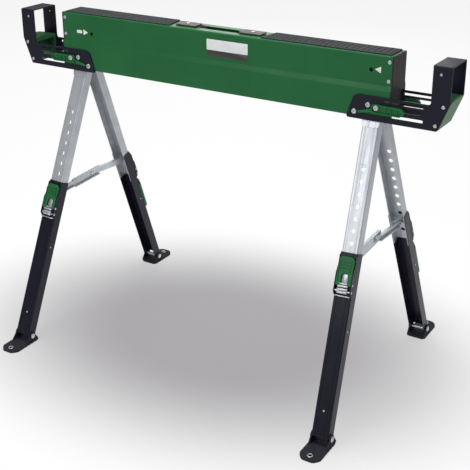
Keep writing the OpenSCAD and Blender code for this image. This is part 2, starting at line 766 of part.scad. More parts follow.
// Latch and spring pins between the cheeks, with the spring's coils round the lower one
module latch_spring(end, side) {
  color("silver") leg_frame(end, side) {
    for (d = [latch_d, spring_d])
      bar_x(-lower_half_w - 0.8, lower_half_w + 0.8, latch_pin_y, -d, latch_pin_r);
    translate([0, latch_pin_y, -spring_d]) rotate([0, 90, 0]) for (i = [-3 : 3])
      translate([0, 0, i * 2.6]) rotate_extrude() translate([latch_pin_r + 0.9, 0]) circle(1.1);
  }
}
module latch_spring_left_front() { latch_spring(LEFT, FRONT); }
module latch_spring_left_back() { latch_spring(LEFT, BACK); }
module latch_spring_right_front() { latch_spring(RIGHT, FRONT); }
module latch_spring_right_back() { latch_spring(RIGHT, BACK); }

// Green clip on a back leg that hooks the folded legs together
module storage_clip(end) {
  top = clip_d;
  face = leg_half_y + 4.6;
  color("#2a7d42") leg_frame(end, BACK) difference() {
    union() {
      translate([0, face, 0]) rotate([-90, 0, 0]) linear_extrude(2.8) polygon(soft([
        [-clip_half_w + 3, top + 4, 5], [0, top, 3], [clip_half_w - 3, top + 4, 5],
        [clip_half_w, top + 20, 3], [clip_half_w - 1, top + clip_len, 3],
        [-clip_half_w + 1, top + clip_len, 3], [-clip_half_w, top + 20, 3]
      ]));
      for (m = [-1, 1]) translate([m * (clip_half_w - 2.4) - 1.2, leg_half_y + 0.6, -clip_pin_d + 8])
        cube([2.4, 4.4, clip_len - 36]);
      for (i = [0 : 4]) translate([-8, face + 2.4, -top - 24 - 9 * i]) cube([16, 1.6, 3.4]);
      bar_x(-clip_half_w, clip_half_w, clip_pin_y, -clip_pin_d, 4);
    }
    // Bore for the pin
    bar_x(-lower_w, lower_w, clip_pin_y, -clip_pin_d, clip_pin_r);
  }
}
module storage_clip_left() { storage_clip(LEFT); }
module storage_clip_right() { storage_clip(RIGHT); }

// ---------- Brace ----------

link_x = 0.25;
link_flange = 8;
link_stop = 30;
link_wide = 78;
link_stop_half_h = 12;

// Link on the back leg, and on the front leg a deeper one that runs on past the centre rivet
module brace_link(end, side) {
  long = side == FRONT;
  color("#b9bec2") at_end(end) at_side(side) pair_frame()
    translate([0, hinge_y + brace_d * sin(leg_splay), -brace_d * cos(leg_splay)])
    rotate([-brace_rest, 0, 0]) mirror([long ? 1 : 0, 0, 0]) difference() {
      union() {
        along_x(link_x, link_x + brace_t) {
          translate([-brace_len, -brace_half_h]) square([brace_len, 2 * brace_half_h]);
          circle(brace_half_h);
          if (long) polygon(soft([
            [-brace_len - link_stop, -link_stop_half_h, 3], [-brace_len + link_wide, -link_stop_half_h, 3],
            [-brace_len + link_wide + 8, -brace_half_h + 1, 0],
            [-brace_len + link_wide + 8, brace_half_h - 1, 0],
            [-brace_len + link_wide, link_stop_half_h, 3], [-brace_len - link_stop, link_stop_half_h, 3]
          ]));
          else translate([-brace_len, 0]) circle(brace_half_h);
        }
        for (m = [0, 1]) mirror([0, 0, m]) {
          translate([link_x, -brace_len + (long ? link_wide : 14), brace_half_h - brace_t])
            cube([link_flange, brace_len - 14 - (long ? link_wide : 14), brace_t]);
          if (long) translate([link_x, -brace_len - link_stop + 3, link_stop_half_h - brace_t])
            cube([link_flange, link_stop + link_wide - 6, brace_t]);
        }
        // Half of the centre rivet
        bar_x(link_x, link_x + brace_t + 1.8, -brace_len, 0, 5);
      }
      bar_x(-lower_w, lower_w, 0, 0, brace_pin_r + pin_gap);
    }
}
module brace_link_left_front() { brace_link(LEFT, FRONT); }
module brace_link_left_back() { brace_link(LEFT, BACK); }
module brace_link_right_front() { brace_link(RIGHT, FRONT); }
module brace_link_right_back() { brace_link(RIGHT, BACK); }

// ---------- Feet ----------

// Frame of a foot at its bolt, upright across the beam
module foot_frame(end, side) {
  at_end(end) at_side(side) pair_frame()
    translate([0, hinge_y + foot_d * sin(leg_splay), -foot_d * cos(leg_splay)]) children();
}

ear_x = lower_half_w + ear_gap;
ear_r = 11;
toe = foot_len - heel;
tread_pitch = 12;

// Rubber-soled foot: two ears on the bolt and a flat sole with a screw hole in the toe
module foot(end, side) {
  color("#2b2b2e") foot_frame(end, side) difference() {
    union() {
      for (m = [0, 1]) mirror([m, 0, 0]) along_x(ear_x, ear_x + ear_t) {
        circle(ear_r);
        polygon(soft([
          [-ear_r, 0, 0], [ear_r, 0, 0], [ear_r + 13, sole_t - bolt_h, 0], [ear_r + 13, 2 - bolt_h, 0],
          [-heel + 3, 2 - bolt_h, 0], [-heel + 3, sole_t - bolt_h, 0]
        ]));
      }
      rotate([0, leg_tilt, 0]) translate([0, 0, -bolt_h]) linear_extrude(sole_t) polygon(soft([
        [-foot_w / 2, -heel, 10], [foot_w / 2, -heel, 10],
        [foot_w / 2, toe - 14, 14], [foot_w / 2 - 12, toe, 12],
        [12 - foot_w / 2, toe, 12], [-foot_w / 2, toe - 14, 14]
      ]));
    }
    bar_x(-lower_w, lower_w, 0, 0, foot_bolt_r + pin_gap);
    rotate([0, leg_tilt, 0]) {
      translate([0, toe - 15, -bolt_h - cut]) cylinder(r = 4, h = sole_t + 2 * cut);
      for (y = [-heel + 8 : tread_pitch : toe - 30]) translate([-foot_w, y, -bolt_h - cut])
        cube([2 * foot_w, 3, cut + 1.2]);
    }
  }
}
module foot_left_front() { foot(LEFT, FRONT); }
module foot_left_back() { foot(LEFT, BACK); }
module foot_right_front() { foot(RIGHT, FRONT); }
module foot_right_back() { foot(RIGHT, BACK); }

// Bolt through ears and leg, with a domed head and a nut
module foot_bolt(end, side) {
  out = ear_x + ear_t + 0.3;
  color("#8e9092") foot_frame(end, side) {
    bar_x(-out, out, 0, 0, foot_bolt_r);
    translate([out, 0, 0]) rotate([0, 90, 0]) rotate_extrude() polygon(soft([
      [0, 0, 0], [7, 0, 0], [7, 1, 0], [4, 2.6, 1.5], [0, 2.6, 0]
    ]));
    translate([-out, 0, 0]) rotate([0, -90, 0]) cylinder(r = 7, h = 2.6, $fn = 6);
  }
}
module foot_bolt_left_front() { foot_bolt(LEFT, FRONT); }
module foot_bolt_left_back() { foot_bolt(LEFT, BACK); }
module foot_bolt_right_front() { foot_bolt(RIGHT, FRONT); }
module foot_bolt_right_back() { foot_bolt(RIGHT, BACK); }

beam_shell();
end_cap_left();
end_cap_right();
grip_pad_left();
grip_pad_right();
carry_strap();
handle_plates();
handle_screws();
cap_screws();
slide_bolts();
lever_bolts();
hinge_bracket_left();
hinge_bracket_right();
hinge_pins_left();
hinge_pins_right();
support_fork_left();
support_fork_right();
corner_block_left();
corner_block_right();
corner_bolts_left();
corner_bolts_right();
lock_lever_left_front();
lock_lever_left_back();
lock_lever_right_front();
lock_lever_right_back();
leg_carrier_left();
leg_carrier_right();
splay_pins_left();
splay_pins_right();
upper_leg_left_front();
upper_leg_left_back();
upper_leg_right_front();
upper_leg_right_back();
lower_leg_left_front();
lower_leg_left_back();
lower_leg_right_front();
lower_leg_right_back();
latch_lever_left_front();
latch_lever_left_back();
latch_lever_right_front();
latch_lever_right_back();
latch_spring_left_front();
latch_spring_left_back();
latch_spring_right_front();
latch_spring_right_back();
foot_left_front();
foot_left_back();
foot_right_front();
foot_right_back();
foot_bolt_left_front();
foot_bolt_left_back();
foot_bolt_right_front();
foot_bolt_right_back();
brace_link_left_front();
brace_link_left_back();
brace_link_right_front();
brace_link_right_back();
storage_clip_left();
storage_clip_right();
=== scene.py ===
"""Looks of the folding sawhorse: finishes for its solids, small trim, and the stage."""

import json
import math

import bmesh
import bpy
from mathutils import Matrix, Vector


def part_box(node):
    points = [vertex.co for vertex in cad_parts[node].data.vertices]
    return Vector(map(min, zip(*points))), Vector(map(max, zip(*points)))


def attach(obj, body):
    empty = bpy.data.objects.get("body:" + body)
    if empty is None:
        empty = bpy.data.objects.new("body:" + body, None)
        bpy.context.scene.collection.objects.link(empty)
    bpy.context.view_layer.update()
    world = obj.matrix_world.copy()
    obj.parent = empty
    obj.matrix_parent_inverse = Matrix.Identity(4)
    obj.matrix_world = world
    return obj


bl_info = {
    "name": "Folding Sawhorse Looks",
    "version": (1, 0, 0),
    "blender": (4, 5, 0),
    "location": "View3D > Sidebar > Sawhorse",
    "description": "Finishes, trim and stage for the folding sawhorse",
    "category": "Object",
}

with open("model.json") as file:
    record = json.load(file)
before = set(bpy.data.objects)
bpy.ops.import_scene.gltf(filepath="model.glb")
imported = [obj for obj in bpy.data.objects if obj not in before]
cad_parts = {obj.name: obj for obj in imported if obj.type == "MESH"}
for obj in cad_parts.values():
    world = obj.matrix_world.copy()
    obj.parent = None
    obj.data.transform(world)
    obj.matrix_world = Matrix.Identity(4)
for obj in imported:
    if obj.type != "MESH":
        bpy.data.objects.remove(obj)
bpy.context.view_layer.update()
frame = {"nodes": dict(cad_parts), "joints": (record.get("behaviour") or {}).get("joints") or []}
NODES = frame["nodes"]
JOINTS = {joint["name"]: joint for joint in frame["joints"]}

MM = 0.001
ENDS = {"left": -1, "right": 1}
SIDES = {"front": -1, "back": 1}
LEGS = [(end, side) for end in ENDS for side in SIDES]

# A leg's own millimetres: its outer face and half its width, then the pins, screws and
# the housing's end, which are measured down it from the pin it splays on
LEG_FACE = 13.25
LEG_HALF = 21.0
LATCH_PIN = 380.0
SPRING_PIN = 396.0
HOUSING_END = 408.0
SIDE_SCREW = 484.0
CLIP_PIN = 523.0
FACE_SCREW = 666.0

# Millimetres of the trim on the latch housing and the storage clip
TONGUE_HALF = 8.0
STRIP_HALF = 12.5
STRIP_HEIGHT = 4.2
STRIP_PITCH = 6.8
LIP_HALF = 18.6
LIP_HEIGHT = 2.2
COVER_HALF = 20.2
COVER_LENGTH = 86.0
COVER_WALL = 2.5
CLIP_PIN_RISE = 4.4

# Millimetres of the marks on the beam: half its upper panel's width, how far the marks
# stand below its top and in from its shell's ends, and the bare mark's own size
PANEL_FRONT = 35.0
LABEL_DROP = 17.0
RIGHT_ARROW_DROP = 32.0
RIGHT_ARROW_IN = 25.0
LEFT_ARROW_DROP = 45.0
LEFT_ARROW_IN = 64.0
MARK_IN = 43.0
MARK_WIDTH = 17.0
MARK_HEIGHT = 8.0

# How far trim is sunk into the face it sits on, in millimetres
SEAT = 0.2

# A foot's sole, and its toe hole's distance from the toe, in metres
SOLE = 0.006
TOE_HOLE = 0.015

# Camera: its place in metres, degrees that it looks down and turns, its lens and shift
CAMERA_PLACE = (1.2276, -1.9210, 1.3332)
CAMERA_DOWN = 23.05
CAMERA_TURN = 31.12
CAMERA_LENS = 74.8
CAMERA_SHIFT = (-0.0213, -0.0489)

# Painted pool of shade on the floor, darkening its colour under the trestle: its middle
# and reach in metres, its turn in degrees, how deep it fades, and its darkest colour
POOL_MIDDLE = (-0.02, 0.01, 0)
POOL_REACH = (0.92, 0.68, 1)
POOL_TURN = 4
POOL_FADE = 0.72
POOL_SHADE = (0.34, 0.325, 0.34, 1)

# Strength of the world as light on matt faces, and as seen in shiny ones
SOFT_LIGHT = 0.36
ROOM_LIGHT = 0.3

# Lamps: name, place, aim and size in metres, power in watts
LAMPS = (
    ("key", (-0.9, -3.0, 1.9), (0.1, 0, 0.5), (1.3, 1.6), 27),
    ("top", (-0.2, 0.3, 3.2), (0, 0, 0.6), (2.6, 2.2), 76),
    ("right", (3.2, -0.6, 1.5), (0.2, 0, 0.5), (1.2, 1.8), 9),
    ("back", (-1.6, 3.0, 1.8), (0, 0, 0.4), (2.0, 1.4), 20),
)


def srgb(red, green, blue):
    """Linear colour from 0-255 display values."""
    def linear(value):
        value /= 255
        return value / 12.92 if value <= 0.04045 else ((value + 0.055) / 1.055) ** 2.4
    return (linear(red), linear(green), linear(blue))


# ---------- What a user would change ----------

def colour(name, description, default):
    """A colour property."""
    return bpy.props.FloatVectorProperty(
        name=name, description=description, subtype="COLOR", size=3, min=0, max=1, default=default
    )


def length(name, description, default):
    """A length property, in metres."""
    return bpy.props.FloatProperty(
        name=name, description=description, default=default, min=0, unit="LENGTH"
    )


class SawhorseColours(bpy.types.PropertyGroup):
    """Colours of the sawhorse's finishes"""

    beam: colour("Beam green", "Powder coat of the beam", srgb(30, 99, 54))
    moulded: colour("Moulded green", "Plastic of levers, latches and clips", srgb(34, 106, 60))
    block: colour("Block green", "Plastic of the fork's corner blocks", srgb(46, 96, 58))
    black_coat: colour("Black coat", "Powder coat of forks and lower legs", srgb(24, 24, 38))
    bright_steel: colour("Bright steel", "Zinc-plated upper legs", srgb(190, 193, 198))
    link_steel: colour("Link steel", "Dull plating of the folding brace", srgb(204, 209, 213))
    hinge_steel: colour("Hinge steel", "Brackets and carriers under the beam", srgb(70, 72, 74))
    fastener: colour("Fastener", "Plating of screws, bolts and rivets", srgb(198, 200, 203))
    cap: colour("Cap brown", "Plastic of the end caps", srgb(43, 34, 35))
    pad: colour("Pad grey", "Rubber of the grip pads", srgb(54, 57, 59))
    strap: colour("Strap brown", "Rubber of the carry strap", srgb(44, 36, 33))
    taupe: colour("Plate taupe", "Clamp plates at the strap's ends", srgb(92, 85, 80))
    foot: colour("Foot grey", "Rubber of the feet", srgb(42, 42, 50))
    label: colour("Label white", "Blank plates and arrow marks", srgb(236, 238, 238))
    band: colour("Label band", "Dark band below the blank plate", srgb(52, 50, 44))


class SawhorseSizes(bpy.types.PropertyGroup):
    """Sizes of the sawhorse's trim, and how the stage is lit"""

    label_width: length("Label width", "Width of the blank plate on the beam", 0.112)
    label_height: length("Label height", "Height of the blank plate on the beam", 0.026)
    band_height: length("Band height", "Height of the dark band below the plate", 0.0145)
    label_centre: bpy.props.FloatProperty(
        name="Label centre", description="Label's middle along the beam from its centre",
        default=0.040, unit="LENGTH",
    )
    arrow: length("Arrow size", "Side of the arrow marks beside the holes", 0.0145)
    rivet: length("Rivet radius", "Radius of the small rivet heads", 0.0028)
    wear: bpy.props.FloatProperty(
        name="Wear", description="How much the finishes vary and scuff", default=1, min=0, max=2,
        subtype="FACTOR",
    )
    lamp: bpy.props.FloatProperty(
        name="Lamp strength", description="Overall strength of the studio lamps", default=1,
        min=0, max=4,
    )


# ---------- Finishes ----------

class Finish:
    """Builds one node material, with short calls for the nodes it needs."""

    def __init__(self, name, roughness, metallic=0.0):
        self.material = bpy.data.materials.new(name)
        self.material.use_nodes = True
        self.nodes = self.material.node_tree.nodes
        self.links = self.material.node_tree.links
        self.shader = self.nodes["Principled BSDF"]
        self.shader.inputs["Roughness"].default_value = roughness
        self.shader.inputs["Metallic"].default_value = metallic
        self.place = self.nodes.new("ShaderNodeTexCoord").outputs["Object"]

    def node(self, kind, **settings):
        """Adds a node, sets its attributes, and feeds its named inputs."""
        node = self.nodes.new(kind)
        for key, value in settings.items():
            if hasattr(node, key):
                setattr(node, key, value)
            else:
                self.feed(node.inputs[key.replace("_", " ")], value)
        return node

    def feed(self, socket, value):
        """Links an output to a socket, or sets the socket's own value."""
        if isinstance(value, bpy.types.NodeSocket):
            self.links.new(value, socket)
        else:
            socket.default_value = value

    def noise(self, scale, detail=3.0, stretch=None, turn=None, seed=0.0):
        """Noise over the piece; stretch scales the axes after an optional turn."""
        vector = self.place
        if stretch or seed or turn:
            mapping = self.node("ShaderNodeMapping", Vector=vector)
            mapping.inputs["Location"].default_value = (seed, seed * 0.7, seed * 1.3)
            mapping.inputs["Scale"].default_value = stretch or (1, 1, 1)
            if turn:
                mapping.vector_type = "TEXTURE"
                mapping.inputs["Rotation"].default_value = turn
                mapping.inputs["Scale"].default_value = [1 / s for s in stretch or (1, 1, 1)]
            vector = mapping.outputs["Vector"]
        node = self.node("ShaderNodeTexNoise", Vector=vector, Scale=scale, Detail=detail)
        return node.outputs["Fac"]

    def span(self, value, low, high, to_low=0.0, to_high=1.0):
        """Maps a value from one range onto another, clamped."""
        node = self.node("ShaderNodeMapRange", Value=value)
        for key, number in (
            ("From Min", low), ("From Max", high), ("To Min", to_low), ("To Max", to_high)
        ):
            node.inputs[key].default_value = number
        return node.outputs["Result"]

    def blend(self, factor, first, second, mode="MIX"):
        """Mixes two colours."""
        node = self.node("ShaderNodeMix", data_type="RGBA", blend_type=mode)
        for socket, value in ((node.inputs[0], factor), (node.inputs[6], first),
                              (node.inputs[7], second)):
            if isinstance(value, tuple) and len(value) == 3:
                value = (*value, 1)
            self.feed(socket, value)
        return node.outputs[2]

    def math(self, operation, first, second=0.0):
        """One step of arithmetic."""
        node = self.node("ShaderNodeMath", operation=operation)
        self.feed(node.inputs[0], first)
        self.feed(node.inputs[1], second)
        return node.outputs[0]

    def edges(self):
        """About 1 on sharp outer edges, falling to 0 on flat faces."""
        bent = self.node("ShaderNodeBevel", samples=4, Radius=0.0009).outputs["Normal"]
        flat = self.node("ShaderNodeNewGeometry").outputs["Normal"]
        dot = self.node("ShaderNodeVectorMath", operation="DOT_PRODUCT")
        self.feed(dot.inputs[0], bent)
        self.feed(dot.inputs[1], flat)
        return self.span(dot.outputs["Value"], 0.985, 0.86)

    def bump(self, height, distance, strength=1.0, soften=0.0006):
        """Bumps the surface over normals softened at the edges."""
        node = self.node("ShaderNodeBump", Height=height, Distance=distance, Strength=strength)
        if soften:
            bevel = self.node("ShaderNodeBevel", samples=4, Radius=soften)
            self.feed(node.inputs["Normal"], bevel.outputs["Normal"])
        self.feed(self.shader.inputs["Normal"], node.outputs["Normal"])

    def colour(self, value):
        """Sets the base colour."""
        if isinstance(value, tuple):
            value = (*value, 1)
        self.feed(self.shader.inputs["Base Color"], value)

    def rough(self, value):
        """Links the roughness to a texture."""
        self.feed(self.shader.inputs["Roughness"], value)


def shade(base, amount):
    """A colour made lighter (above 1) or darker (below 1)."""
    return tuple(min(1, channel * amount) for channel in base)


def powder_coat(name, base, roughness, wear, scuff=None):
    """Sprayed and baked coat: orange peel, slow colour drift, light scuffs on the edges."""
    finish = Finish(name, roughness)
    drift = finish.span(finish.noise(7, 2), 0.35, 0.65)
    coat = finish.blend(drift, shade(base, 1 - 0.07 * wear), shade(base, 1 + 0.09 * wear))
    patch = finish.span(finish.noise(60, 5, seed=3.1), 0.52, 0.72)
    rub = finish.math("MULTIPLY", finish.edges(), finish.math("MULTIPLY", patch, 0.55 * wear))
    coat = finish.blend(rub, coat, scuff or shade(base, 2.4))
    finish.colour(coat)
    finish.rough(finish.span(finish.noise(18, 4, seed=1.7), 0.3, 0.7, roughness - 0.05,
                             roughness + 0.08))
    finish.bump(finish.noise(900, 2, seed=0.4), 0.00022, 0.35)
    finish.shader.inputs["Coat Weight"].default_value = 0.06
    finish.shader.inputs["Coat Roughness"].default_value = 0.3
    finish.shader.inputs["Specular IOR Level"].default_value = 0.16
    return finish.material


def plated_steel(name, base, roughness, wear, turn=None, grain=1.0):
    """Zinc plate: fine drawn grain along the part and a soft cloudy spangle."""
    finish = Finish(name, roughness, 0.62)
    streaks = finish.noise(260, 3, stretch=(1, 1, 0.02), turn=turn)
    clouds = finish.span(finish.noise(38, 3, seed=2.2), 0.3, 0.7)
    plate = finish.blend(clouds, shade(base, 1 - 0.10 * wear), shade(base, 1 + 0.05 * wear))
    plate = finish.blend(
        finish.span(streaks, 0.35, 0.7, 0, 0.35 * grain), plate, shade(base, 0.72)
    )
    finish.colour(plate)
    finish.rough(finish.span(streaks, 0.3, 0.7, roughness - 0.06, roughness + 0.1))
    finish.bump(streaks, 0.00006, 0.3 * grain)
    return finish.material


def moulding(name, base, roughness, wear, grain=0.00012, grain_scale=1400.0):
    """Moulded plastic: fine spark-eroded grain, faint flow marks, paler rubbed edges."""
    finish = Finish(name, roughness)
    flow = finish.span(finish.noise(24, 4, stretch=(1, 1, 0.4), seed=5.0), 0.35, 0.65)
    body = finish.blend(flow, shade(base, 1 - 0.08 * wear), shade(base, 1 + 0.08 * wear))
    patch = finish.span(finish.noise(140, 4, seed=0.9), 0.4, 0.7)
    rub = finish.math("MULTIPLY", finish.edges(), finish.math("MULTIPLY", patch, 0.5 * wear))
    finish.colour(finish.blend(rub, body, shade(base, 1.9)))
    finish.rough(finish.span(finish.noise(300, 3, seed=2.0), 0.3, 0.7, roughness - 0.06,
                             roughness + 0.08))
    finish.bump(finish.noise(grain_scale, 2), grain, 0.5)
    finish.shader.inputs["Specular IOR Level"].default_value = 0.2
    return finish.material


def rubber(name, base, wear, speck=0.5):
    """Matt rubber with mineral specks and a dusty bloom."""
    finish = Finish(name, 0.78)
    bloom = finish.span(finish.noise(16, 4, seed=4.0), 0.35, 0.7)
    body = finish.blend(bloom, shade(base, 1 - 0.12 * wear), shade(base, 1 + 0.14 * wear))
    specks = finish.span(finish.noise(1500, 2, seed=1.0), 0.58, 0.68)
    finish.colour(finish.blend(finish.math("MULTIPLY", specks, speck), body, shade(base, 1.9)))
    finish.bump(finish.noise(1100, 3), 0.0003, 0.55)
    finish.shader.inputs["Specular IOR Level"].default_value = 0.16
    return finish.material


def printed_film(name, base, wear):
    """Blank printed film: even colour with a faint orange peel and handling marks."""
    finish = Finish(name, 0.38)
    marks = finish.span(finish.noise(45, 4, seed=7.0), 0.45, 0.75)
    finish.colour(finish.blend(marks, base, shade(base, 1 - 0.08 * wear)))
    finish.bump(finish.noise(500, 2), 0.00008, 0.3)
    return finish.material


def leg_turn(end, side):
    """Euler turn that lays a finish's grain along one leg."""
    up = Vector(JOINTS[f"height_{end}_{side}"]["axis"])
    return Vector((0, 0, 1)).rotation_difference(up).to_euler()


def dress(node, material):
    """Gives a solid its finish."""
    data = NODES[node].data
    data.materials.clear()
    data.materials.append(material)


# ---------- Shapes ----------

def leg_place(end, side):
    """Matrix from a leg's own millimetres (out along the beam, out to the side, up the leg)."""
    splay = JOINTS[f"splay_{end}_{side}"]
    out = Vector(splay["axis"]) * (-ENDS[end] * SIDES[side])
    up = Vector(JOINTS[f"height_{end}_{side}"]["axis"])
    across = up.cross(out).normalized()
    if across.y * SIDES[side] < 0:
        across = -across
    place = Matrix.Identity(4)
    for column, axis in enumerate((out, across, up)):
        for row in range(3):
            place[row][column] = axis[row] * MM
    for row in range(3):
        place[row][3] = splay["pos_m"][row]
    return place


def rounded(corners, steps=5):
    """Outline through (x, y, radius) corners, with each corner rounded."""
    outline = []
    for index, (x, y, radius) in enumerate(corners):
        here = Vector((x, y))
        back = (Vector(corners[index - 1][:2]) - here).normalized()
        ahead = (Vector(corners[(index + 1) % len(corners)][:2]) - here).normalized()
        if radius == 0:
            outline.append(here)
            continue
        half = math.acos(max(-1, min(1, back.dot(ahead)))) / 2
        centre = here + (back + ahead).normalized() * radius / math.sin(half)
        start = here + back * radius / math.tan(half)
        stop = here + ahead * radius / math.tan(half)
        first, last = start - centre, stop - centre
        turn = first.angle_signed(last)
        for step in range(steps + 1):
            angle = -turn * step / steps
            spin = Matrix.Rotation(angle, 2)
            outline.append(centre + spin @ first)
    return outline


def plate(left, right, low, high, radius, steps=5):
    """Upright rectangle with rounded corners."""
    return rounded([
        (left, low, radius), (right, low, radius), (right, high, radius), (left, high, radius)
    ], steps)


def slab(bm, outline, low, high, edge=0.0):
    """Extrudes an X-Z outline from y = low to y = high, its outer rim eased by edge."""
    levels = [(low, 0.0), (high - edge, 0.0)]
    if edge:
        levels += [(high - edge * 0.3, edge * 0.3), (high, edge)]
    centre = sum(outline, Vector((0, 0))) / len(outline)
    rings = []
    for y, inset in levels:
        ring = []
        for point in outline:
            inward = centre - point
            moved = point + inward.normalized() * min(inset, inward.length)
            ring.append(bm.verts.new((moved.x, y, moved.y)))
        rings.append(ring)
    bm.faces.new(rings[0])
    bm.faces.new(rings[-1])
    for lower, upper in zip(rings, rings[1:]):
        for index in range(len(lower)):
            after = (index + 1) % len(lower)
            bm.faces.new((lower[index], lower[after], upper[after], upper[index]))


def turned(bm, profile, centre, axis, segments=24, ring_shaped=False):
    """Solid of revolution from (distance along axis, radius) steps; a ring keeps its hole."""
    axis = Vector(axis).normalized()
    first = axis.orthogonal().normalized()
    second = axis.cross(first)
    rings = []
    for along, radius in profile:
        middle = Vector(centre) + axis * along
        if radius == 0:
            rings.append([bm.verts.new(middle)])
            continue
        ring = []
        for step in range(segments):
            angle = 2 * math.pi * step / segments
            ring.append(bm.verts.new(
                middle + radius * (first * math.cos(angle) + second * math.sin(angle))
            ))
        rings.append(ring)
    following = rings[1:] + rings[:1] if ring_shaped else rings[1:]
    for lower, upper in zip(rings, following):
        for step in range(segments):
            after = (step + 1) % segments
            corners = [
                lower[step % len(lower)], lower[after % len(lower)],
                upper[after % len(upper)], upper[step % len(upper)],
            ]
            corners = list(dict.fromkeys(corners))
            bm.faces.new(corners)
    if ring_shaped:
        return
    for ring in (rings[0], rings[-1]):
        if len(ring) > 2:
            bm.faces.new(ring)


def domed(bm, centre, axis, radius, height):
    """Domed rivet head standing on a face."""
    rise = [(height * math.sin(a), radius * math.cos(a)) for a in (0.0, 0.35, 0.7, 1.05, 1.3)]
    turned(bm, [(-0.3, radius)] + rise + [(height, 0)], centre, axis, 20)


def piece(name, bm, place, material, body):
    """Makes a piece from a mesh in millimetres, and fixes it to a body."""
    bm.transform(place)
    bmesh.ops.remove_doubles(bm, verts=bm.verts, dist=1e-7)
    bmesh.ops.recalc_face_normals(bm, faces=bm.faces)
    mesh = bpy.data.meshes.new(name)
    bm.to_mesh(mesh)
    bm.free()
    mesh.materials.append(material)
    for polygon in mesh.polygons:
        polygon.use_smooth = True
    mesh.set_sharp_from_angle(angle=math.radians(35))
    obj = bpy.data.objects.new(name, mesh)
    bpy.context.scene.collection.objects.link(obj)
    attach(obj, body)
    return obj


# ---------- The builders ----------

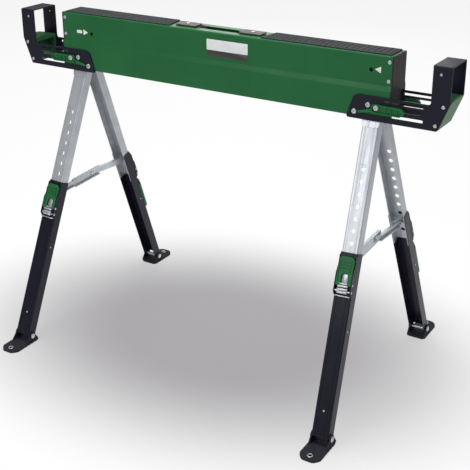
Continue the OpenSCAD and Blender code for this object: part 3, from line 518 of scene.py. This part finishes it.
class SAWHORSE_OT_stage(bpy.types.Operator):
    """Lay the pale floor, hang the studio lamps and set the camera"""

    bl_idname = "sawhorse.stage"
    bl_label = "Stage"

    def execute(self, context):
        scene = context.scene
        scene.view_settings.view_transform = "Standard"
        camera = bpy.data.objects.new("Camera", bpy.data.cameras.new("Camera"))
        scene.collection.objects.link(camera)
        camera.location = CAMERA_PLACE
        camera.rotation_euler = (math.radians(90 - CAMERA_DOWN), 0, math.radians(CAMERA_TURN))
        camera.data.lens = CAMERA_LENS
        camera.data.sensor_width = 36
        camera.data.shift_x, camera.data.shift_y = CAMERA_SHIFT
        scene.camera = camera
        self.floor(scene)
        self.world(scene)
        strength = scene.sawhorse_sizes.lamp
        for name, place, aim, size, power in LAMPS:
            lamp = bpy.data.lights.new(name, "AREA")
            lamp.shape = "RECTANGLE"
            lamp.size, lamp.size_y = size
            lamp.energy = power * strength
            lamp_object = bpy.data.objects.new(name, lamp)
            scene.collection.objects.link(lamp_object)
            lamp_object.location = place
            toward = Vector(aim) - Vector(place)
            lamp_object.rotation_euler = toward.to_track_quat("-Z", "Y").to_euler()
        return {"FINISHED"}

    def floor(self, scene):
        """Pale floor that keeps the shadow, with a soft grey pool of painted shade under the
        trestle.
        """
        bm = bmesh.new()
        bmesh.ops.create_grid(bm, x_segments=2, y_segments=2, size=9)
        mesh = bpy.data.meshes.new("floor")
        bm.to_mesh(mesh)
        bm.free()
        floor = bpy.data.objects.new("floor", mesh)
        scene.collection.objects.link(floor)
        material = bpy.data.materials.new("studio floor")
        material.use_nodes = True
        nodes, links = material.node_tree.nodes, material.node_tree.links
        nodes.clear()
        out = nodes.new("ShaderNodeOutputMaterial")
        paper = nodes.new("ShaderNodeBsdfDiffuse")
        glow = nodes.new("ShaderNodeEmission")
        seen = nodes.new("ShaderNodeLightPath")
        place = nodes.new("ShaderNodeTexCoord")
        squash = nodes.new("ShaderNodeMapping")
        squash.vector_type = "TEXTURE"
        squash.inputs["Location"].default_value = POOL_MIDDLE
        squash.inputs["Rotation"].default_value = (0, 0, math.radians(POOL_TURN))
        squash.inputs["Scale"].default_value = POOL_REACH
        # Painted shade: a soft grey pool darkens the floor's own colour under the trestle
        pool = nodes.new("ShaderNodeTexGradient")
        pool.gradient_type = "SPHERICAL"
        fade = nodes.new("ShaderNodeMapRange")
        fade.interpolation_type = "SMOOTHSTEP"
        fade.inputs["From Max"].default_value = POOL_FADE
        fade.inputs["To Min"].default_value = 1
        fade.inputs["To Max"].default_value = 0
        mix = nodes.new("ShaderNodeMixShader")
        tint = nodes.new("ShaderNodeMix")
        tint.data_type = "RGBA"
        tint.inputs[6].default_value = POOL_SHADE
        tint.inputs[7].default_value = (1, 1, 1, 1)
        share = nodes.new("ShaderNodeMath")
        share.operation = "MULTIPLY"
        share.inputs[1].default_value = 0.86
        paper.inputs["Color"].default_value = (0.9, 0.9, 0.9, 1)
        links.new(place.outputs["Object"], squash.inputs["Vector"])
        links.new(squash.outputs["Vector"], pool.inputs["Vector"])
        links.new(pool.outputs["Fac"], fade.inputs["Value"])
        links.new(fade.outputs["Result"], tint.inputs[0])
        links.new(tint.outputs[2], glow.inputs["Color"])
        links.new(seen.outputs["Is Camera Ray"], share.inputs[0])
        links.new(share.outputs[0], mix.inputs[0])
        links.new(paper.outputs[0], mix.inputs[1])
        links.new(glow.outputs[0], mix.inputs[2])
        links.new(mix.outputs[0], out.inputs["Surface"])
        floor.data.materials.append(material)

    def world(self, scene):
        """White backdrop for the camera, a dim grey room for reflections, soft grey light for the
        rest.
        """
        world = bpy.data.worlds.new("studio")
        scene.world = world
        world.use_nodes = True
        nodes, links = world.node_tree.nodes, world.node_tree.links
        nodes.clear()
        out = nodes.new("ShaderNodeOutputWorld")
        soft = nodes.new("ShaderNodeBackground")
        soft.inputs["Color"].default_value = (0.95, 0.97, 1, 1)
        soft.inputs["Strength"].default_value = SOFT_LIGHT
        room = nodes.new("ShaderNodeBackground")
        room.inputs["Strength"].default_value = ROOM_LIGHT
        white = nodes.new("ShaderNodeBackground")
        white.inputs["Color"].default_value = (1, 1, 1, 1)
        seen = nodes.new("ShaderNodeLightPath")
        reflected = nodes.new("ShaderNodeMath")
        reflected.operation = "MAXIMUM"
        first, second = nodes.new("ShaderNodeMixShader"), nodes.new("ShaderNodeMixShader")
        links.new(seen.outputs["Is Glossy Ray"], reflected.inputs[0])
        links.new(seen.outputs["Is Transmission Ray"], reflected.inputs[1])
        links.new(reflected.outputs[0], first.inputs[0])
        links.new(soft.outputs[0], first.inputs[1])
        links.new(room.outputs[0], first.inputs[2])
        links.new(seen.outputs["Is Camera Ray"], second.inputs[0])
        links.new(first.outputs[0], second.inputs[1])
        links.new(white.outputs[0], second.inputs[2])
        links.new(second.outputs[0], out.inputs["Surface"])


class SAWHORSE_OT_beam(bpy.types.Operator):
    """Finish the beam, its end caps, grip pads, carry strap and their screws"""

    bl_idname = "sawhorse.beam"
    bl_label = "Beam"

    def execute(self, context):
        colours, wear = context.scene.sawhorse_colours, context.scene.sawhorse_sizes.wear
        coat = powder_coat("green powder coat", tuple(colours.beam), 0.36, wear)
        dress("beam_shell", coat)
        cap = moulding("brown cap moulding", tuple(colours.cap), 0.42, wear)
        pad = rubber("pad rubber", tuple(colours.pad), wear, 0.35)
        screw = plated_steel("screw plating", tuple(colours.fastener), 0.3, wear, grain=0.3)
        for end in ENDS:
            dress(f"end_cap_{end}", cap)
            dress(f"grip_pad_{end}", pad)
        dress("carry_strap", rubber("strap rubber", tuple(colours.strap), wear, 0.2))
        dress("handle_plates", moulding("taupe plate", tuple(colours.taupe), 0.5, wear))
        for node in ("handle_screws", "cap_screws", "slide_bolts", "lever_bolts"):
            dress(node, screw)
        return {"FINISHED"}


class SAWHORSE_OT_labels(bpy.types.Operator):
    """Fix the blank plate, its dark band and the arrow marks to the beam's front"""

    bl_idname = "sawhorse.labels"
    bl_label = "Blank plates and arrows"

    def execute(self, context):
        colours, sizes = context.scene.sawhorse_colours, context.scene.sawhorse_sizes
        white = printed_film("blank white film", tuple(colours.label), sizes.wear)
        dark = printed_film("dark band film", tuple(colours.band), sizes.wear)
        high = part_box("beam_shell")[1]
        beam_top = high.z / MM
        beam_end = high.x / MM
        self.label(sizes, white, dark, beam_top - LABEL_DROP)
        self.arrow("arrow_right", sizes, white, beam_end - RIGHT_ARROW_IN,
                   beam_top - RIGHT_ARROW_DROP, -1)
        self.arrow("arrow_left", sizes, white, LEFT_ARROW_IN - beam_end,
                   beam_top - LEFT_ARROW_DROP, 1)
        left = MARK_IN - beam_end
        middle = beam_top - LEFT_ARROW_DROP
        mark = plate(left, left + MARK_WIDTH, middle - MARK_HEIGHT / 2, middle + MARK_HEIGHT / 2, 3)
        self.film("blank_mark", mark, 0.25, 0.1, white, "zinc_steel")
        return {"FINISHED"}

    def film(self, name, outline, thick, edge, material, slot):
        """Sticks a flat shape on the beam's front panel."""
        bm = bmesh.new()
        slab(bm, outline, PANEL_FRONT - SEAT, PANEL_FRONT + thick, edge)
        piece(name, bm, Matrix.Diagonal((MM, -MM, MM, 1)), material, "beam")

    def label(self, sizes, white, dark, top):
        """White plate with the dark band below it."""
        half = sizes.label_width / MM / 2
        middle = sizes.label_centre / MM
        seam = top - sizes.label_height / MM
        bottom = seam - sizes.band_height / MM
        left, right = middle - half, middle + half
        self.film("blank_plate", plate(left, right, seam + 0.4, top, 1.5), 0.35, 0.3, white,
                  "zinc_steel")
        self.film("blank_band", plate(left, right, bottom, seam - 0.4, 1.5), 0.35, 0.3, dark,
                  "black_steel")

    def arrow(self, name, sizes, white, base, middle, way):
        """Triangle that points along the beam from its base."""
        side = sizes.arrow / MM
        outline = rounded([
            (base, middle - side / 2, 0.8), (base + way * side, middle, 0.8),
            (base, middle + side / 2, 0.8),
        ], 3)
        self.film(name, outline, 0.25, 0.1, white, "zinc_steel")


class SAWHORSE_OT_forks(bpy.types.Operator):
    """Finish the end forks, their corner blocks, bolts and lock levers"""

    bl_idname = "sawhorse.forks"
    bl_label = "End forks"

    def execute(self, context):
        colours, wear = context.scene.sawhorse_colours, context.scene.sawhorse_sizes.wear
        black = powder_coat("black powder coat", tuple(colours.black_coat), 0.33, wear,
                            srgb(74, 74, 84))
        block = moulding("block moulding", tuple(colours.block), 0.4, wear)
        lever = moulding("lever moulding", tuple(colours.moulded), 0.38, wear)
        bolt = plated_steel("bolt plating", tuple(colours.fastener), 0.28, wear, grain=0.3)
        for end in ENDS:
            dress(f"support_fork_{end}", black)
            dress(f"corner_block_{end}", block)
            dress(f"corner_bolts_{end}", bolt)
            for side in SIDES:
                dress(f"lock_lever_{end}_{side}", lever)
        return {"FINISHED"}


class SAWHORSE_OT_hinges(bpy.types.Operator):
    """Finish the brackets, carriers and pins that the leg pairs fold and splay on"""

    bl_idname = "sawhorse.hinges"
    bl_label = "Hinges"

    def execute(self, context):
        colours, wear = context.scene.sawhorse_colours, context.scene.sawhorse_sizes.wear
        bracket = powder_coat("hinge coat", tuple(colours.hinge_steel), 0.45, wear)
        pin = plated_steel("pin plating", tuple(colours.fastener), 0.25, wear, grain=0.3)
        for end in ENDS:
            dress(f"hinge_bracket_{end}", bracket)
            dress(f"leg_carrier_{end}", bracket)
            dress(f"hinge_pins_{end}", pin)
            dress(f"splay_pins_{end}", pin)
        return {"FINISHED"}


class SAWHORSE_OT_legs(bpy.types.Operator):
    """Finish the bright upper and black lower legs, and add their small screws"""

    bl_idname = "sawhorse.legs"
    bl_label = "Legs"

    def execute(self, context):
        colours, sizes = context.scene.sawhorse_colours, context.scene.sawhorse_sizes
        wear = sizes.wear
        black = powder_coat("leg black coat", tuple(colours.black_coat), 0.27, wear,
                            srgb(74, 74, 84))
        screw = plated_steel("small screw plating", tuple(colours.fastener), 0.3, wear, grain=0.3)
        for end, side in LEGS:
            bright = plated_steel(f"bright zinc {end} {side}", tuple(colours.bright_steel), 0.36,
                                  wear, leg_turn(end, side))
            dress(f"upper_leg_{end}_{side}", bright)
            dress(f"lower_leg_{end}_{side}", black)
            bm = bmesh.new()
            head = sizes.rivet / MM * 0.8
            domed(bm, (0, LEG_FACE, -FACE_SCREW), (0, 1, 0), head, 1.1)
            for out in (-1, 1):
                domed(bm, (out * LEG_HALF, 2, -SIDE_SCREW), (out, 0, 0), head, 1.1)
            piece(f"leg_screws_{end}_{side}", bm, leg_place(end, side), screw,
                  f"lower_{end}_{side}")
        return {"FINISHED"}


class SAWHORSE_OT_latches(bpy.types.Operator):
    """Finish the height latches, with the steel tongue and rivets of each housing"""

    bl_idname = "sawhorse.latches"
    bl_label = "Height latches"

    def execute(self, context):
        colours, sizes = context.scene.sawhorse_colours, context.scene.sawhorse_sizes
        lever = moulding("latch moulding", tuple(colours.moulded), 0.36, sizes.wear)
        steel = plated_steel("latch steel", tuple(colours.fastener), 0.3, sizes.wear, grain=0.5)
        for end, side in LEGS:
            leg = f"{end}_{side}"
            dress(f"latch_lever_{leg}", lever)
            dress(f"latch_spring_{leg}", steel)
            place = leg_place(end, side)
            bm = bmesh.new()
            self.tongue(bm)
            self.strips(bm)
            self.lip(bm)
            piece(f"latch_tongue_{leg}", bm, place, steel, f"lower_{leg}")
            bm = bmesh.new()
            for out in (-1, 1):
                for down in (LATCH_PIN, SPRING_PIN):
                    domed(bm, (out * (LEG_HALF + 0.7), LEG_FACE + 4.6, -down), (out, 0, 0),
                          sizes.rivet / MM, 1.6)
            piece(f"housing_rivets_{leg}", bm, place, steel, f"lower_{leg}")
        return {"FINISHED"}

    def tongue(self, bm):
        """Flat spring tongue on the leg's face, rounded at its free end."""
        outline = rounded([
            (-TONGUE_HALF, -HOUSING_END + 24, 0), (TONGUE_HALF, -HOUSING_END + 24, 0),
            (TONGUE_HALF, -LATCH_PIN + 22, 5), (-TONGUE_HALF, -LATCH_PIN + 22, 5),
        ])
        slab(bm, outline, LEG_FACE, LEG_FACE + 1.6, 0.4)

    def strips(self, bm):
        """Three cross strips, from the spring pin up to the latch pin."""
        for step in range(3):
            low = -SPRING_PIN - 4.5 + STRIP_PITCH * step
            strip = plate(-STRIP_HALF, STRIP_HALF, low, low + STRIP_HEIGHT, 1, 3)
            slab(bm, strip, LEG_FACE + 7.4, LEG_FACE + 9.6, 0.7)

    def lip(self, bm):
        """Folded lip that closes the housing's lower end."""
        lip = plate(-LIP_HALF, LIP_HALF, -HOUSING_END, -HOUSING_END + LIP_HEIGHT, 0.6, 3)
        slab(bm, lip, LEG_FACE - SEAT, LEG_FACE + 5.6, 0.4)


class SAWHORSE_OT_clips(bpy.types.Operator):
    """Finish the storage clips on the back legs and add their rivet heads"""

    bl_idname = "sawhorse.clips"
    bl_label = "Storage clips"

    def execute(self, context):
        colours, sizes = context.scene.sawhorse_colours, context.scene.sawhorse_sizes
        clip = moulding("clip moulding", tuple(colours.moulded), 0.38, sizes.wear)
        steel = plated_steel("clip rivet steel", tuple(colours.fastener), 0.3, sizes.wear,
                             grain=0.3)
        for end in ENDS:
            dress(f"storage_clip_{end}", clip)
            place = leg_place(end, "back")
            bm = bmesh.new()
            self.cover(bm)
            piece(f"clip_cover_{end}", bm, place, clip, f"clip_{end}")
            bm = bmesh.new()
            for out in (-1, 1):
                domed(bm, (out * (COVER_HALF - 0.1), LEG_FACE + CLIP_PIN_RISE, -CLIP_PIN),
                      (out, 0, 0), sizes.rivet / MM, 1.2)
            piece(f"clip_rivets_{end}", bm, place, steel, f"clip_{end}")
        return {"FINISHED"}

    def cover(self, bm):
        """Clip's wide front with a wall and a pin boss down each side."""
        top = -HOUSING_END - 9
        shoulder = top - 20
        outline = rounded([
            (-17, top - 4, 3), (0, top, 2), (17, top - 4, 3), (COVER_HALF, shoulder, 3),
            (COVER_HALF, top - COVER_LENGTH, 2), (-COVER_HALF, top - COVER_LENGTH, 2),
            (-COVER_HALF, shoulder, 3),
        ])
        slab(bm, outline, LEG_FACE + 4.9, LEG_FACE + 7.7, 0.8)
        outer = COVER_HALF - 0.1
        inner = outer - COVER_WALL
        for out in (-1, 1):
            wall = [Vector((out * x, z)) for x, z in (
                (inner, shoulder), (outer, shoulder), (outer, -CLIP_PIN), (inner, -CLIP_PIN)
            )]
            slab(bm, wall, LEG_FACE + 0.9, LEG_FACE + 7.6, 0.4)
            turned(bm, [(0, 3.4), (2.4, 3.4)],
                   (out * (inner + 0.05), LEG_FACE + CLIP_PIN_RISE, -CLIP_PIN), (out, 0, 0))


class SAWHORSE_OT_braces(bpy.types.Operator):
    """Finish the folding brace of each leg pair"""

    bl_idname = "sawhorse.braces"
    bl_label = "Folding braces"

    def execute(self, context):
        colours, wear = context.scene.sawhorse_colours, context.scene.sawhorse_sizes.wear
        turn = (math.radians(90), 0, 0)
        for end, side in LEGS:
            steel = plated_steel(f"link plating {end} {side}", tuple(colours.link_steel), 0.42,
                                 wear, turn, 0.6)
            dress(f"brace_link_{end}_{side}", steel)
        return {"FINISHED"}


class SAWHORSE_OT_feet(bpy.types.Operator):
    """Finish the rubber feet and their bolts"""

    bl_idname = "sawhorse.feet"
    bl_label = "Feet"

    def execute(self, context):
        colours, wear = context.scene.sawhorse_colours, context.scene.sawhorse_sizes.wear
        foot = rubber("foot rubber", tuple(colours.foot), wear)
        bolt = plated_steel("foot bolt plating", tuple(colours.fastener), 0.3, wear, grain=0.3)
        for end, side in LEGS:
            dress(f"foot_{end}_{side}", foot)
            dress(f"foot_bolt_{end}_{side}", bolt)
            low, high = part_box(f"foot_{end}_{side}")
            toe = high.y - TOE_HOLE if side == "back" else low.y + TOE_HOLE
            centre = Vector(((low.x + high.x) / 2, toe, low.z + SOLE))
            bm = bmesh.new()
            turned(bm, [(-SEAT, 4.1), (0.9, 4.3), (1.3, 5.2), (0.9, 6.4), (-SEAT, 6.8)],
                   (0, 0, 0), (0, 0, 1), ring_shaped=True)
            place = Matrix.Translation(centre) @ Matrix.Diagonal((MM, MM, MM, 1))
            piece(f"toe_eyelet_{end}_{side}", bm, place, bolt, f"shoe_{end}_{side}")
        return {"FINISHED"}


BUILDERS = (
    SAWHORSE_OT_stage, SAWHORSE_OT_beam, SAWHORSE_OT_labels, SAWHORSE_OT_forks,
    SAWHORSE_OT_hinges, SAWHORSE_OT_legs, SAWHORSE_OT_latches, SAWHORSE_OT_clips,
    SAWHORSE_OT_braces, SAWHORSE_OT_feet,
)


class SAWHORSE_PT_panel(bpy.types.Panel):
    """Lists the colours, the sizes and the builders"""

    bl_idname = "SAWHORSE_PT_panel"
    bl_label = "Folding Sawhorse"
    bl_space_type = "VIEW_3D"
    bl_region_type = "UI"
    bl_category = "Sawhorse"

    def draw(self, context):
        layout = self.layout
        for group in (context.scene.sawhorse_colours, context.scene.sawhorse_sizes):
            column = layout.column()
            for key in group.__annotations__:
                column.prop(group, key)
        for builder in BUILDERS:
            layout.operator(builder.bl_idname)


CLASSES = (SawhorseColours, SawhorseSizes, *BUILDERS, SAWHORSE_PT_panel)


def register():
    for kind in CLASSES:
        bpy.utils.register_class(kind)
    bpy.types.Scene.sawhorse_colours = bpy.props.PointerProperty(type=SawhorseColours)
    bpy.types.Scene.sawhorse_sizes = bpy.props.PointerProperty(type=SawhorseSizes)


def unregister():
    del bpy.types.Scene.sawhorse_sizes
    del bpy.types.Scene.sawhorse_colours
    for kind in reversed(CLASSES):
        bpy.utils.unregister_class(kind)


def main():
    """Builds everything in order."""
    register()
    for builder in BUILDERS:
        group, call = builder.bl_idname.split(".")
        getattr(getattr(bpy.ops, group), call)()


if __name__ == "__main__":
    main()
